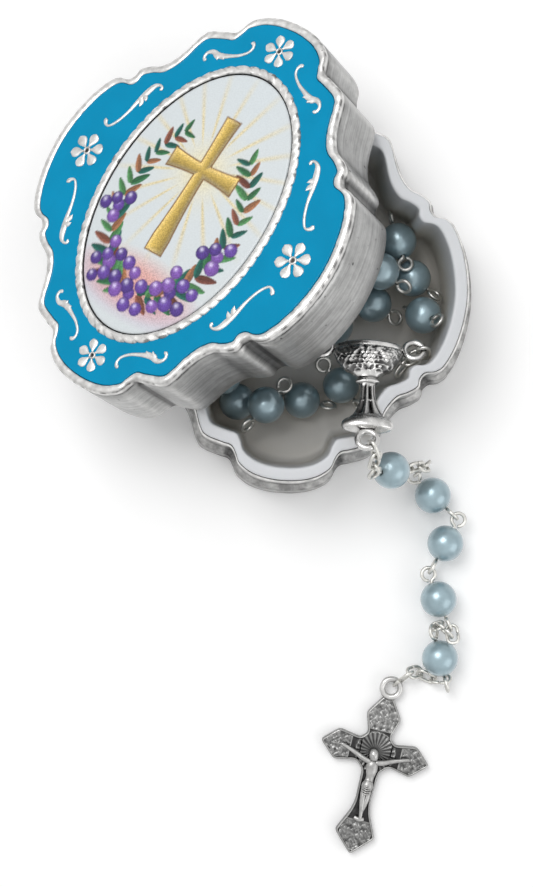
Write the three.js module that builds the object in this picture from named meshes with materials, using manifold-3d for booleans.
// Rosary box: a scalloped two-part keepsake box, opened, with its pearl rosary.
// Millimetres, +Z up. The origin is the middle of the base's underside, +Y runs along the base's length.
// The lid is off: it is turned against the base and leans on it, one lobe on the table.
import * as THREE from 'three';
import { mergeVertices } from 'three/addons/utils/BufferGeometryUtils.js';
import Module from 'manifold-3d';

const wasm = await Module();
wasm.setup();

// Box outline and walls
const boxLength = 65;
const boxWidth = 57.8;
const lidHeight = 13.4;
const lidWall = 0.9;
const lidTop = 1.5;
const lidRimWidth = 1.5;
const lidRimRound = 0.4;
const lidGrooveDepth = 0.35;
const lidGrooveDrop = 1.5;
const lidGrooveHeight = 0.5;
const fieldDepth = 0.6;
const enamelGap = 0.1;
const enamelThickness = 0.45;
const fieldEndBand = 8.6;
const fieldSideBand = 12.2;
const ropeBand = 1.5;
const ropeRise = 0.25;
const cameoCrown = 0.7;
const cameoEdge = 0.5;
const flowerShares = { side: 0.57, end: 0.756 };
const scrollBand = 0.85;

// Where the lid lies: its turn in degrees, the place of the edge that it stands on as shares of half the
// box's width and length, and the gap at which it rests against the liner's rim
const lidTurn = -28;
const lidFootShares = [-1.1703, 0.6006];
const leanGap = 0.107;

// Base
const baseHeight = 19.7;
const linerProud = 1.1;
const rimInset = 1.5;
const shellWall = 0.4;
const neckTaper = 0.3;
const seatHeight = 8.8;
const seatDrop = 0.4;
const seatLedge = 1.1;
const footFlare = 0.45;
const footHeight = 1.4;
const shellFloor = 0.8;
const linerGap = 0.1;
const linerBand = 1.9;
const linerRound = 0.38;
const linerTaper = 0.6;
const linerFloor = 1.0;
const linerFillet = 1.5;
const filletDrawShare = 0.333;

// Rosary
const beadDiameter = 6;
const beadBore = 1.1;
const wireDiameter = 0.6;
const eyeRadius = 1.1;
const beadClearance = 0.05;
const hookClearance = 0.2;
const hookLagShare = 0.2;
const linkLength = 3.9;
const linkWidth = 2.6;
const longLinkLength = 5.2;
const shortLinkLength = 3.0;
const shortLinkWidth = 2.5;
const layerHeight = 5.45;
const rowSpacing = 6.4;
const restGap = 0.3;

// Chalice centrepiece
const chaliceLength = 15.4;
const chaliceCup = 11.2;
const chaliceFoot = 8.1;
const chaliceDepthShare = 0.4;
const chaliceFromSide = 12.2;
const chaliceFromRim = 17.95;
const castRingRadius = 1.5;
const castWire = 0.9;
const ringSinkShare = 0.25;

// Crucifix
const crossLength = 27;
const crossSpan = 18.6;
const crossThickness = 1.5;
const figureDepth = 0.8;

const TAU = 2 * Math.PI;
const wireRadius = wireDiameter / 2;
const beadRadius = beadDiameter / 2;
const ropeLength = boxLength - 2 * fieldEndBand;
const ropeWidth = boxWidth - 2 * fieldSideBand;
const shellInner = rimInset + shellWall;
const linerOuter = shellInner + linerGap;
const linerInner = linerOuter + linerBand;
const trayHalfWidth = boxWidth / 2 - linerInner - linerTaper;
const trayHalfLength = boxLength / 2 - linerInner - linerTaper;
const mergeShare = 0.0001;
const deg = THREE.MathUtils.degToRad;
const part = new THREE.Group();

const silver = { color: 0xc9c7c4, roughness: 0.32, metalness: 1 };
const darkSilver = { color: 0xa5a4a2, roughness: 0.4, metalness: 1 };
const brightWire = { color: 0xd9d8d6, roughness: 0.22, metalness: 1 };
const blueEnamel = { color: 0x0a8fb8, roughness: 0.25, metalness: 0 };
const whitePlastic = { color: 0xdfe1e4, roughness: 0.4, metalness: 0 };
const cameoWhite = { color: 0xe9e8e2, roughness: 0.2, metalness: 0 };
const pearl = { color: 0x9db6c0, roughness: 0.2, metalness: 0.1 };

// Keeps positions only and merges shared corners, so that the surface is watertight.
function watertight(geometry) {
  const bare = geometry.clone();
  bare.deleteAttribute('normal');
  bare.deleteAttribute('uv');
  return mergeVertices(bare, wireDiameter * mergeShare);
}

function toSolid(geometry) {
  const bare = watertight(geometry);
  const triVerts = new Uint32Array(bare.index.array);
  return new wasm.Manifold(new wasm.Mesh({ numProp: 3, vertProperties: bare.attributes.position.array, triVerts }));
}

function toGeometry(solid) {
  const mesh = solid.getMesh();
  const geometry = new THREE.BufferGeometry();
  geometry.setAttribute('position', new THREE.BufferAttribute(new Float32Array(mesh.vertProperties), 3));
  geometry.setIndex(new THREE.BufferAttribute(new Uint32Array(mesh.triVerts), 1));
  return geometry;
}

function joined(geometries) {
  return geometries.map(toSolid).reduce((all, next) => all.add(next));
}

function addPiece(name, geometry, finish, parent = part) {
  const mesh = new THREE.Mesh(watertight(geometry), new THREE.MeshStandardMaterial(finish));
  mesh.name = name;
  parent.add(mesh);
  return mesh;
}

// The value between low and high at which a rising measure passes zero.
function solved(low, high, measure) {
  const halvings = 24;
  let [under, over] = [low, high];
  for (let i = 0; i < halvings; i += 1) {
    const middle = (under + over) / 2;
    if (measure(middle) < 0) under = middle;
    else over = middle;
  }
  return (under + over) / 2;
}

// A stack of rings with the same number of points, closed by a fan at both ends.
function lofted(rings) {
  const count = rings[0].length;
  const positions = rings.flat().flatMap((p) => [p.x, p.y, p.z]);
  const faces = [];
  for (let level = 0; level + 1 < rings.length; level += 1) {
    for (let i = 0; i < count; i += 1) {
      const a = level * count + i;
      const b = level * count + ((i + 1) % count);
      faces.push(a, b, b + count, a, b + count, a + count);
    }
  }
  const last = rings.length - 1;
  for (const [level, flip] of [[0, true], [last, false]]) {
    const centre = positions.length / 3;
    positions.push(0, 0, rings[level][0].z);
    for (let i = 0; i < count; i += 1) {
      const a = level * count + i;
      const b = level * count + ((i + 1) % count);
      faces.push(...(flip ? [centre, b, a] : [centre, a, b]));
    }
  }
  const geometry = new THREE.BufferGeometry();
  geometry.setAttribute('position', new THREE.Float32BufferAttribute(positions, 3));
  geometry.setIndex(faces);
  return geometry;
}

// One quarter of the scalloped outline, from the end of the width to the end of the length,
// as shares of half the width and half the length.
const quarterShares = [
  [1, 0], [0.985, 0.135], [0.947, 0.262], [0.892, 0.361], [0.845, 0.396], [0.788, 0.407], [0.757, 0.44],
  [0.748, 0.48], [0.697, 0.514], [0.63, 0.543], [0.575, 0.603], [0.54, 0.668], [0.505, 0.754],
  [0.468, 0.796], [0.372, 0.827], [0.318, 0.841], [0.29, 0.875], [0.262, 0.926], [0.19, 0.97],
  [0.1, 0.993], [0, 1],
];

// The whole outline, drawn in towards the middle by an inset, at height z.
function outline(inset, z) {
  const corners = [[1, 1, false], [-1, 1, true], [-1, -1, false], [1, -1, true]];
  const points = [];
  for (const [sx, sy, back] of corners) {
    const quarter = back ? [...quarterShares].reverse() : quarterShares;
    for (const [u, v] of quarter.slice(0, -1)) {
      const x = (sx * u * boxWidth) / 2;
      const y = (sy * v * boxLength) / 2;
      const keep = 1 - inset / Math.hypot(x, y);
      points.push(new THREE.Vector3(x * keep, y * keep, z));
    }
  }
  return points;
}

const shellFrom = (steps) => lofted(steps.map(([inset, z]) => outline(inset, z)));

// The outline's reach along the length, at a distance x from the middle line.
function outlineReach(x) {
  const u = (2 * x) / boxWidth;
  const next = Math.max(quarterShares.findIndex(([share]) => share < u), 1);
  const [[u0, v0], [u1, v1]] = [quarterShares[next - 1], quarterShares[next]];
  return ((v0 + ((u0 - u) / (u0 - u1)) * (v1 - v0)) * boxLength) / 2;
}

function flatShape(points, low, high) {
  const shape = new THREE.Shape(points.map(([x, y]) => new THREE.Vector2(x, y)));
  const geometry = new THREE.ExtrudeGeometry(shape, { depth: high - low, bevelEnabled: false });
  return geometry.translate(0, 0, low);
}

function ovalPoints(length, width, count) {
  return Array.from({ length: count }, (_, i) => {
    const a = (TAU * i) / count;
    return [(Math.cos(a) * width) / 2, (Math.sin(a) * length) / 2];
  });
}

// Raised motifs on the lid, in the lid's own frame with z = 0 at the rim's top.
const ovalSteps = 40;

// A place in one quarter of the field: its turn as a share of the quarter, and its share of the way from
// the rope border to the rim.
function fieldPlace([turnShare, bandShare]) {
  const turn = (turnShare * TAU) / 4;
  const [c, s] = [Math.cos(turn), Math.sin(turn)];
  const next = quarterShares.findIndex(([across, down]) => down * c - across * s > 0);
  const [[u0, v0], [u1, v1]] = [quarterShares[next - 1], quarterShares[next]];
  const at = (u0 * s - v0 * c) / ((u0 - u1) * s - (v0 - v1) * c);
  const [u, v] = [u0 + (u1 - u0) * at, v0 + (v1 - v0) * at];
  const edge = new THREE.Vector2((u * boxWidth) / 2, (v * boxLength) / 2);
  const outer = edge.length() - lidRimWidth;
  edge.normalize();
  const inner = 1 / Math.hypot((2 * edge.x) / ropeWidth, (2 * edge.y) / ropeLength);
  return edge.multiplyScalar(inner + (outer - inner) * bandShare);
}

function flowerPoints(size, turn, grow) {
  const petals = 6;
  const perPetal = 3;
  const valleyShare = 0.52;
  return Array.from({ length: petals * perPetal }, (_, i) => {
    const a = turn + (TAU * i) / (petals * perPetal);
    const radius = (i % perPetal === 0 ? valleyShare : 1) * (size / 2) + grow;
    return [Math.cos(a) * radius, Math.sin(a) * radius];
  });
}

// Centre lines of the two scrolls of one quarter, as places in the field.
const sideScrollShares = [
  [0.142, 0.472], [0.149, 0.611], [0.174, 0.56], [0.182, 0.358], [0.26, 0.28], [0.336, 0.397], [0.421, 0.51],
  [0.458, 0.389],
];
const endScrollShares = [
  [0.644, 0.402], [0.67, 0.488], [0.701, 0.469], [0.739, 0.325], [0.799, 0.261], [0.848, 0.291], [0.867, 0.437],
  [0.896, 0.473],
];
const scrollSwellShares = [0.9, 1, 0.75, 0.8, 1.25, 1, 0.8, 1];

function scrollPoints(shares, sx, sy, grow) {
  const middle = shares.map((share) => fieldPlace(share).multiply(new THREE.Vector2(sx, sy)));
  const sideA = [];
  const sideB = [];
  middle.forEach((p, i) => {
    const before = middle[Math.max(i - 1, 0)];
    const after = middle[Math.min(i + 1, middle.length - 1)];
    const along = after.clone().sub(before).normalize();
    const half = (scrollBand * scrollSwellShares[i]) / 2 + grow;
    const end = i === 0 ? -grow : i === middle.length - 1 ? grow : 0;
    const base = p.clone().addScaledVector(along, end);
    sideA.push([base.x - along.y * half, base.y + along.x * half]);
    sideB.push([base.x + along.y * half, base.y - along.x * half]);
  });
  return [...sideA, ...sideB.reverse()];
}

function motifSolids(grow, low, high) {
  const solids = [];
  const sideField = fieldSideBand - lidRimWidth;
  const endField = fieldEndBand - lidRimWidth;
  const x = (ropeWidth + sideField) / 2;
  const y = (ropeLength + endField) / 2;
  const side = [sideField * flowerShares.side, TAU / 12];
  const end = [endField * flowerShares.end, 0];
  for (const [u, v, [size, turn]] of [[x, 0, side], [-x, 0, side], [0, y, end], [0, -y, end]]) {
    solids.push(toSolid(flatShape(flowerPoints(size, turn, grow), low, high).translate(u, v, 0)));
  }
  for (const [sx, sy] of [[1, 1], [-1, 1], [-1, -1], [1, -1]]) {
    for (const shares of [sideScrollShares, endScrollShares]) {
      solids.push(toSolid(flatShape(scrollPoints(shares, sx, sy, grow), low, high)));
    }
  }
  return solids;
}

function lidShell() {
  const ceiling = -lidTop;
  const field = -fieldDepth;
  const grooveTop = -lidGrooveDrop;
  const grooveLow = grooveTop - lidGrooveHeight;
  const shell = toSolid(shellFrom([
    [lidWall, ceiling], [lidWall, -lidHeight], [0, -lidHeight], [0, grooveLow - lidGrooveDepth],
    [lidGrooveDepth, grooveLow], [lidGrooveDepth, grooveTop], [0, grooveTop + lidGrooveDepth], [0, -lidRimRound],
    [lidRimRound, 0], [lidRimWidth - lidRimRound, 0], [lidRimWidth, -lidRimRound], [lidRimWidth, field],
  ]));
  const rope = toSolid(flatShape(ovalPoints(ropeLength, ropeWidth, ovalSteps), field - enamelGap, ropeRise));
  const seatOval = ovalPoints(ropeLength - 2 * ropeBand, ropeWidth - 2 * ropeBand, ovalSteps);
  const seat = toSolid(flatShape(seatOval, field, lidTop));
  const solids = motifSolids(0, field - enamelGap, 0);
  return solids.reduce((all, next) => all.add(next), shell).add(rope).subtract(seat);
}

function lidEnamel() {
  const low = -fieldDepth + enamelGap;
  const high = low + enamelThickness;
  const inset = lidRimWidth + enamelGap;
  const plate = toSolid(lofted([outline(inset, low), outline(inset, high)]));
  const oval = ovalPoints(ropeLength + 2 * enamelGap, ropeWidth + 2 * enamelGap, ovalSteps);
  const [under, over] = [low - enamelGap, high + enamelGap];
  const holes = [...motifSolids(enamelGap, under, over), toSolid(flatShape(oval, under, over))];
  return holes.reduce((left, next) => left.subtract(next), plate);
}

// The domed plate's rings: the share of its oval, of its edge and of its crown.
const cameoStepShares = [[1, 0, 0], [1, 1, 0], [0.595, 1, 0.7], [0.28, 1, 1]];

function cameoPlate() {
  const low = -fieldDepth + enamelGap;
  const inner = ropeBand + enamelGap;
  return lofted(cameoStepShares.map(([keep, edge, crown]) => {
    const z = low + edge * cameoEdge + crown * cameoCrown;
    const points = ovalPoints((ropeLength - 2 * inner) * keep, (ropeWidth - 2 * inner) * keep, ovalSteps);
    return points.map(([x, y]) => new THREE.Vector3(x, y, z));
  }));
}

// The lid stands on the lower edge of one side and leans on the liner's rim, so the lean in degrees is
// the one at which it comes near enough to the liner.
function buildLid(liner) {
  const lid = new THREE.Group();
  const shell = toGeometry(lidShell());
  const foot = new THREE.Vector3((lidFootShares[0] * boxWidth) / 2, (lidFootShares[1] * boxLength) / 2, restGap);
  const standingEdge = new THREE.Vector3(-boxWidth / 2, 0, -lidHeight);
  const leanTo = (lean) => {
    lid.rotation.set(0, deg(-lean), deg(lidTurn), 'ZYX');
    lid.position.copy(foot).sub(standingEdge.clone().applyEuler(lid.rotation));
    lid.updateMatrix();
  };
  const flattestAngle = 10;
  const steepestAngle = 60;
  const lean = solved(flattestAngle, steepestAngle, (tried) => {
    leanTo(tried);
    return toSolid(shell.clone().applyMatrix4(lid.matrix)).minGap(liner, 2 * leanGap) - leanGap;
  });
  leanTo(lean);
  part.add(lid);
  addPiece('lid_shell', shell, silver, lid);
  addPiece('lid_enamel', toGeometry(lidEnamel()), blueEnamel, lid);
  addPiece('cameo_plate', cameoPlate(), cameoWhite, lid);
}

function buildBase() {
  const shellRim = baseHeight - linerProud;
  const neckInset = rimInset - neckTaper;
  addPiece('base_shell', shellFrom([
    [-footFlare, 0], [-footFlare, footHeight], [neckInset - seatLedge, seatHeight - seatDrop], [neckInset, seatHeight],
    [rimInset, shellRim], [shellInner, shellRim], [shellInner, shellFloor],
  ]), silver);
  const bottom = shellFloor + linerGap;
  const floor = bottom + linerFloor;
  const round = baseHeight - linerRound;
  const foot = linerInner + linerTaper;
  const draw = linerFillet * filletDrawShare;
  const liner = shellFrom([
    [linerOuter, bottom], [linerOuter, round], [linerOuter + linerRound, baseHeight],
    [linerInner - linerRound, baseHeight], [linerInner, round], [foot, floor + linerFillet],
    [foot + draw, floor + draw], [foot + linerFillet, floor],
  ]);
  addPiece('base_liner', liner, whitePlastic);
  return { floor, liner: toSolid(liner) };
}

// A wire ring stretched along X into an oval, lying in the XY plane.
function oval(length, width) {
  const sides = 5;
  const segments = 10;
  const stretch = (length - width) / 2;
  const ring = new THREE.TorusGeometry((width - wireDiameter) / 2, wireRadius, sides, segments).rotateZ(TAU / segments / 4);
  const at = ring.attributes.position;
  for (let i = 0; i < at.count; i += 1) at.setX(i, at.getX(i) + Math.sign(at.getX(i)) * stretch);
  return ring;
}

// A pin through a bead: a straight wire along X with a round eye at each end. The first eye lies in the
// XY plane, and the last is turned from it about X.
const eyeCentre = beadRadius + beadClearance + wireRadius + eyeRadius;

function eyePin(twist) {
  const sides = 5;
  const eyeSteps = 8;
  const straight = 2 * (eyeCentre - eyeRadius);
  const wire = new THREE.CylinderGeometry(wireRadius, wireRadius, straight, sides).rotateZ(TAU / 4);
  const eye = () => new THREE.TorusGeometry(eyeRadius, wireRadius, sides, eyeSteps).rotateZ(TAU / eyeSteps / 2);
  const first = eye().translate(-eyeCentre, 0, 0);
  const last = eye().translate(eyeCentre, 0, 0).rotateX(twist);
  return toGeometry(joined([wire, first, last]));
}

function bead() {
  const arcSteps = 6;
  const sides = 10;
  const start = Math.asin(beadBore / beadDiameter);
  const profile = [];
  for (let i = 0; i <= arcSteps; i += 1) {
    const a = start + ((Math.PI - 2 * start) * i) / arcSteps;
    profile.push(new THREE.Vector2(Math.sin(a) * beadRadius, -Math.cos(a) * beadRadius));
  }
  profile.push(profile[0].clone());
  return new THREE.LatheGeometry(profile, sides).rotateZ(-TAU / 4);
}

// A heading in plan and a pitch above the table, both in degrees, and a roll about that line.
const turned = (heading, pitch, roll = 0) => new THREE.Euler(deg(roll), deg(-pitch), deg(heading), 'ZYX');
const direction = (heading, pitch) => new THREE.Vector3(1, 0, 0).applyEuler(turned(heading, pitch));
const upward = new THREE.Vector3(0, 0, 1);

// Sets a piece with its X along a line and its Z along the normal of its first loop.
function setPiece(mesh, centre, along, normal) {
  const across = normal.clone().cross(along);
  mesh.quaternion.setFromRotationMatrix(new THREE.Matrix4().makeBasis(along, across, normal));
  mesh.position.copy(centre);
}

// The normal of a pin's last eye: square to the first one, or with the eye standing upright.
function lastEyeNormal(end, along, normal) {
  if (end === 'upright') return along.clone().cross(upward).normalize();
  return along.clone().cross(normal);
}

function beadOnPin(name, centre, along, normal, endNormal) {
  const across = normal.clone().cross(along);
  const twist = Math.atan2(-endNormal.dot(across), endNormal.dot(normal));
  setPiece(addPiece(`${name}_pin`, eyePin(twist), brightWire), centre, along, normal);
  setPiece(addPiece(`${name}_bead`, bead(), pearl), centre, along, normal);
}

// Hooks a loop through the one before it. The two stand square to each other, unless the loop has a
// normal of its own, and pull along the line that both planes share.
function hooked(before, along, radius, wire, ownNormal) {
  const normal = ownNormal ?? along.clone().cross(before.normal).normalize();
  const pull = before.normal.clone().cross(normal).normalize();
  if (pull.dot(before.along ?? along) * hookLagShare + pull.dot(along) < 0) pull.negate();
  const spacing = (before.wire + wire) / 2 + hookClearance;
  const centre = before.centre.clone().addScaledVector(pull, before.radius + radius - spacing);
  return { centre, radius, normal, wire, along };
}

// Lays pins and links one behind the other from a first loop. Gives their places and the last loop.
function layChain(first, steps) {
  let loop = first;
  const pieces = steps.map(({ name, heading, pitch = 0, roll, end, length, width = linkWidth }) => {
    const along = direction(heading, pitch);
    const ownNormal = roll === undefined ? undefined : upward.clone().applyEuler(turned(heading, pitch, roll));
    const radius = length ? (width - wireDiameter) / 2 : eyeRadius;
    const start = hooked(loop, along, radius, wireDiameter, ownNormal);
    const half = length ? (length - width) / 2 : eyeCentre;
    const centre = start.centre.clone().addScaledVector(along, half);
    loop = { ...start, centre: centre.clone().addScaledVector(along, half) };
    if (!length) loop.normal = lastEyeNormal(end, along, start.normal);
    return { name, centre, along, normal: start.normal, endNormal: loop.normal, length, width };
  });
  return { pieces, loop };
}

function hangChain(first, steps) {
  const { pieces, loop } = layChain(first, steps);
  for (const { name, centre, along, normal, endNormal, length, width } of pieces) {
    if (length) setPiece(addPiece(name, oval(length, width), brightWire), centre, along, normal);
    else beadOnPin(name, centre, along, normal, endNormal);
  }
  return loop;
}

// The cast chalice, flattened front to back, lying with its foot on the base's rim.
const chaliceHeading = -89;
const chalicePitch = 29;
// Profile from the cup's rim down to the foot: share of the cup's radius, share of the length.
const chaliceCupProfileShares = [
  [0, 0], [0.86, 0], [1, 0.03], [0.97, 0.09], [0.9, 0.18], [0.62, 0.31], [0.3, 0.38], [0.25, 0.41],
  [0.34, 0.44], [0.22, 0.47], [0.24, 0.64], [0.36, 0.79], [0.5, 0.86],
];
// And of the foot: share of the foot's radius, share of the length.
const chaliceFootProfileShares = [[0.92, 0.9], [1, 0.945], [0.9, 1], [0, 1]];
const sideRingShare = 0.03;

function chaliceBody() {
  const sides = 14;
  const points = [
    ...chaliceCupProfileShares.map(([r, l]) => new THREE.Vector2((r * chaliceCup) / 2, l * chaliceLength)),
    ...chaliceFootProfileShares.map(([r, l]) => new THREE.Vector2((r * chaliceFoot) / 2, l * chaliceLength)),
  ];
  return new THREE.LatheGeometry(points, sides).rotateZ(-TAU / 4).scale(1, 1, chaliceDepthShare);
}

function castRing(x, y) {
  const sides = 6;
  const segments = 16;
  return new THREE.TorusGeometry(castRingRadius, castWire / 2, sides, segments).translate(x, y, 0);
}

function buildChalice() {
  const ringOut = castRingRadius + castWire * ringSinkShare;
  const footRingX = chaliceLength + ringOut;
  const sideRingX = sideRingShare * chaliceLength;
  const sideRingY = chaliceCup / 2 + ringOut;
  const rings = [castRing(footRingX, 0), castRing(sideRingX, sideRingY), castRing(sideRingX, -sideRingY)];
  const mesh = addPiece('chalice_centrepiece', toGeometry(joined([chaliceBody(), ...rings])), darkSilver);
  const pitch = deg(chalicePitch);
  const footAt = chaliceFootProfileShares[0][1] * chaliceLength;
  const footHalf = (chaliceFoot / 2) * chaliceDepthShare;
  const x = trayHalfWidth - chaliceFromSide;
  const z = baseHeight + restGap + footHalf * Math.cos(pitch) - footAt * Math.sin(pitch);
  const cup = new THREE.Vector3(x, chaliceFromRim - outlineReach(x), z);
  const along = direction(chaliceHeading, chalicePitch);
  const normal = new THREE.Vector3(0, 0, 1).applyEuler(turned(chaliceHeading, chalicePitch));
  setPiece(mesh, cup, along, normal);
  mesh.updateMatrix();
  const loop = (down, across) => ({
    centre: new THREE.Vector3(down, across, 0).applyMatrix4(mesh.matrix),
    radius: castRingRadius,
    normal,
    wire: castWire,
  });
  return { foot: loop(footRingX, 0), side: loop(sideRingX, sideRingY) };
}

// The crucifix lies flat on the table, its top ring towards the chain. Half of its outline, from the
// top down: share of the span to the side, share of the length above the crossing.
const crossShares = [
  [0.04, 0.367], [0.158, 0.243], [0.102, 0.122], [0.156, 0.083], [0.355, 0.107], [0.5, 0.011], [0.347, -0.087],
  [0.15, -0.057], [0.075, -0.106], [0.067, -0.3], [0.091, -0.37], [0.183, -0.507], [0, -0.633],
];
// The figure's limbs, from and to: share of the length below the crossing, share of the span to the
// side, and their radius as a share of the figure's depth.
const limbShares = [
  [[0.052, 0], [0.207, 0], 1.05],
  [[0.193, 0], [0.404, 0], 0.75],
  [[0.063, 0], [-0.019, 0.306], 0.45],
  [[0.063, 0], [-0.019, -0.306], 0.45],
];
const headRiseShare = 0.0167;
const headProudShare = 0.333;

function limb([[fromX, fromY], [toX, toY], radiusShare]) {
  const sides = 6;
  const a = new THREE.Vector2(fromX * crossLength, fromY * crossSpan);
  const b = new THREE.Vector2(toX * crossLength, toY * crossSpan);
  const radius = radiusShare * figureDepth;
  const stick = new THREE.CylinderGeometry(radius, radius, a.distanceTo(b), sides).rotateZ(-TAU / 4);
  stick.rotateZ(Math.atan2(b.y - a.y, b.x - a.x));
  return stick.translate((a.x + b.x) / 2, (a.y + b.y) / 2, crossThickness);
}

function buildCrucifix(chainEnd, heading) {
  const right = crossShares.map(([u, v]) => [-v * crossLength, u * crossSpan]);
  const left = right.slice(0, -1).reverse().map(([x, y]) => [x, -y]);
  const body = flatShape([...right, ...left].reverse(), 0, crossThickness);
  const ringX = -(crossShares[0][1] * crossLength + castRingRadius);
  const ringRise = linkWidth / 2 + beadClearance;
  const ring = castRing(ringX, 0).translate(0, 0, ringRise);
  const headSides = 8;
  const headSteps = 6;
  const headX = -headRiseShare * crossLength;
  const headZ = crossThickness + figureDepth * headProudShare;
  const head = new THREE.SphereGeometry(figureDepth, headSides, headSteps).translate(headX, 0, headZ);
  const solid = joined([body, ring, head, ...limbShares.map(limb)]);
  const along = direction(heading, 0);
  const hookedRing = hooked(chainEnd, along, castRingRadius, castWire);
  const centre = hookedRing.centre.clone().addScaledVector(along, -ringX);
  setPiece(addPiece('crucifix', toGeometry(solid), darkSilver), centre.setZ(0), along, upward);
}

// The rosary's tail, from the chalice's foot ring over the rim and along the table. Its pins and links
// follow one another, each with its heading in plan and its pitch in degrees.
const overRimAngles = {
  tail_link_1: [-65.0, -28.3, linkLength],
  tail_link_2: [-95.7, -45.7, linkLength],
  tail_link_3: [-95.7, -75.1, linkLength],
  tail_1: [12.3, -50.1],
  tail_link_4: [14.3, -37.5, linkLength],
  tail_link_5: [2.6, -63.4, linkLength],
  tail_link_6: [-130.1, -55.0, longLinkLength],
};
const onTableAngles = {
  tail_2: [-40.3, 0, undefined, 30.7],
  tail_3: [-115.2, 0],
  tail_4: [-64.3, 0],
  tail_link_7: [-76.6, 30.4, linkLength],
  tail_link_8: [141.2, -17.9, linkLength],
  tail_link_9: [-158.2, -27.0, shortLinkLength],
  tail_5: [-73.2, 0],
  tail_link_10: [179.9, -22.6, linkLength],
  tail_link_11: [161.8, -2.8, linkLength],
  tail_link_12: [-163.4, 45.3, linkLength],
  tail_link_13: [-131.2, -39.6, longLinkLength],
};

function chainSteps(angles, end) {
  return Object.entries(angles).map(([name, [heading, pitch, length, roll]]) => {
    const width = length === shortLinkLength ? shortLinkWidth : linkWidth;
    return { name, heading, pitch, length, roll, width, end };
  });
}

// The run over the rim hangs steeper or flatter, by a share of what it lacks to the plumb line, so that
// the first bead beyond it lies on the table.
function buildTail(footRing) {
  const overRim = (steeperShare) => chainSteps(overRimAngles)
    .map((step) => ({ ...step, pitch: step.pitch - steeperShare * (90 + step.pitch) }));
  const onTable = chainSteps(onTableAngles, 'upright');
  const flattestShare = -0.5;
  const steepestShare = 1;
  const steeperShare = solved(flattestShare, steepestShare, (tried) => {
    const { loop } = layChain(footRing, overRim(tried));
    return beadRadius + beadClearance - layChain(loop, onTable).pieces[0].centre.z;
  });
  return hangChain(hangChain(footRing, overRim(steeperShare)), onTable);
}

// The loops of the rosary inside the box. Beads that show have their own pins. Those by the side keep
// their distance from the tray's side and from its middle line, and those by the front keep theirs from
// the middle line and the front, in bead diameters. Then come the bead's layer above the floor, and the
// pin's heading, pitch and the rolls of its two eyes, in degrees.
const sideBeadShares = {
  box_1: [0.845, 1.565, 0.63, -72, 25, 87, 2],
  box_2: [0.383, 0.601, 0.45, -33, -1, 111, 122],
  box_3: [1.298, 0.666, 1.22, 150, 0, 135, 71],
  box_4: [0.051, -0.417, 0.80, -206, -61, 7, 87],
  box_5: [1.399, -0.152, 0.27, -27, -18, 177, 163],
};
const frontBeadShares = {
  box_6: [1.435, 1.751, 0.01, -46, -1, 5, 72],
  box_7: [0.385, 1.269, 0.01, 172, -1, 61, 98],
  box_8: [-0.592, 1.052, 0.85, 51, 0, 62, 162],
  box_9: [-1.382, 1.117, 0.01, 154, 1, 138, 56],
};

// The heap under the lid, in rows: the row's number of row spacings from the middle, how far its first
// bead lies from the tray's left side, and its last one from the right side, in bead diameters. Rows
// beyond the front row's share have their last bead's place from the middle line instead.
const heapRowShares = {
  heap_strand_1: [0, [[3.25, 3.051, 3.05], [2.25, 1.765, 2.218], [1.25, 0.749, 2.184]]],
  heap_strand_2: [0, [[0.25, 0.065, 2.401], [-0.75, 0.2, 2.401], [-1.75, 1.303, -1.083]]],
  heap_strand_3: [1, [[3.69, 3.566, 3.566], [2.75, 1.948, 3.051], [1.75, 1.235, 2.719], [0.75, 0.234, 2.565]]],
  heap_strand_4: [1, [[-0.25, 0.065, 2.565], [-1.25, 0.802, -0.665], [-2.25, 1.765, -1.801]]],
};
const frontRowShare = -1;
const heapFrontShare = 2.2;

const reachX = trayHalfWidth - beadRadius;
const reachY = trayHalfLength - beadRadius;
const layerZ = (floor, layer) => floor + beadClearance + beadRadius + layer * layerHeight;

// True where a bead clears the tray's wall: its outermost point, carried out by the walls, is inside the outline.
function clearsTray({ x, y }) {
  const out = 1 + (beadRadius + linerInner + linerTaper) / Math.hypot(x, y);
  return Math.abs(x) * out < boxWidth / 2 && Math.abs(y) * out < outlineReach(Math.abs(x) * out);
}

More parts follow.
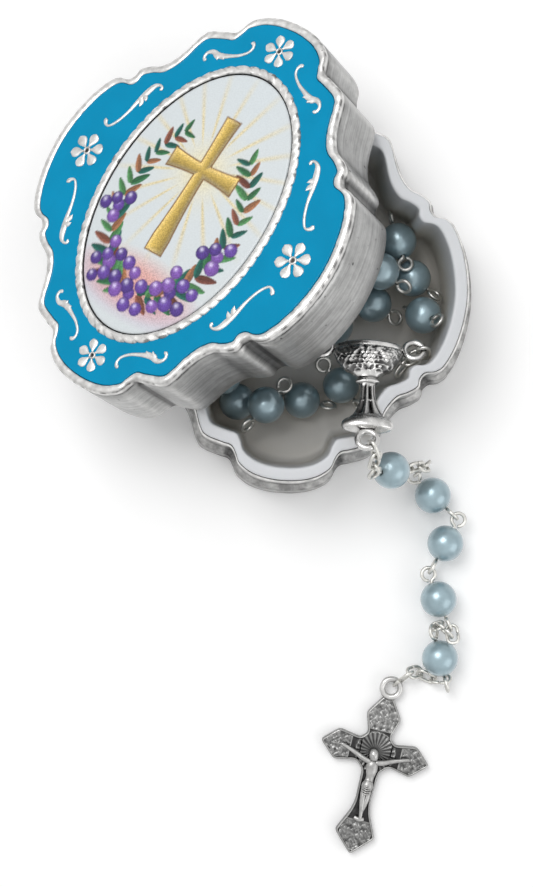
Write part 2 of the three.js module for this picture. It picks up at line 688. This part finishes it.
// The bead centres of a strand: each row holds as many beads as find room.
function strandCentres([layer, rows], floor) {
  const beadSpacing = beadDiameter + 2 * beadClearance;
  const front = heapFrontShare * beadDiameter - trayHalfLength;
  return rows.filter(([row]) => row * rowSpacing > front).flatMap(([row, left, right], index) => {
    const from = left * beadDiameter - reachX;
    const to = row < frontRowShare ? right * beadDiameter : reachX - right * beadDiameter;
    const count = Math.max(Math.floor((to - from) / beadSpacing) + 1, 0);
    const line = Array.from({ length: count }, (_, i) => {
      const x = from + ((to - from) * i) / Math.max(count - 1, 1);
      return new THREE.Vector3(x, row * rowSpacing, layerZ(floor, layer));
    }).filter(clearsTray);
    return index % 2 ? line.reverse() : line;
  });
}

function heapStrand(centres) {
  const sides = 7;
  const steps = 5;
  const wireSides = 4;
  const ball = new THREE.SphereGeometry(beadRadius, sides, steps);
  const solids = centres.map((c) => ball.clone().translate(c.x, c.y, c.z));
  for (let i = 0; i + 1 < centres.length; i += 1) {
    const [a, b] = [centres[i], centres[i + 1]];
    const along = b.clone().sub(a);
    const turn = new THREE.Quaternion().setFromUnitVectors(new THREE.Vector3(0, 1, 0), along.clone().normalize());
    const middle = a.clone().add(b).multiplyScalar(0.5);
    const wire = new THREE.CylinderGeometry(wireRadius, wireRadius, along.length(), wireSides);
    solids.push(wire.applyQuaternion(turn).translate(middle.x, middle.y, middle.z));
  }
  return toGeometry(joined(solids));
}

function buildHeap(floor) {
  const beadAt = (name, x, y, [layer, heading, pitch, roll, lastRoll]) => {
    const normal = upward.clone().applyEuler(turned(heading, pitch, roll));
    const lastNormal = upward.clone().applyEuler(turned(heading, pitch, lastRoll));
    beadOnPin(name, new THREE.Vector3(x, y, layerZ(floor, layer)), direction(heading, pitch), normal, lastNormal);
  };
  for (const [name, [side, middle, ...pose]] of Object.entries(sideBeadShares)) {
    beadAt(name, reachX - side * beadDiameter, middle * beadDiameter, pose);
  }
  for (const [name, [middle, front, ...pose]] of Object.entries(frontBeadShares)) {
    beadAt(name, middle * beadDiameter, front * beadDiameter - reachY, pose);
  }
  for (const [name, strand] of Object.entries(heapRowShares)) {
    addPiece(name, heapStrand(strandCentres(strand, floor)), pearl);
  }
}

// The short run of links from the chalice's side ring down to the loops in the box.
const sideLinkAngles = {
  side_link_1: [-88.9, -61.0, linkLength],
  side_link_2: [-147.6, 4.4, linkLength],
  side_link_3: [-126, 16, linkLength],
};

const rings = buildChalice();
const { floor: trayFloor, liner } = buildBase();
buildLid(liner);
buildHeap(trayFloor);
hangChain(rings.side, chainSteps(sideLinkAngles));
const crossHeading = -100.5;
buildCrucifix(buildTail(rings.foot), crossHeading);

export default part;
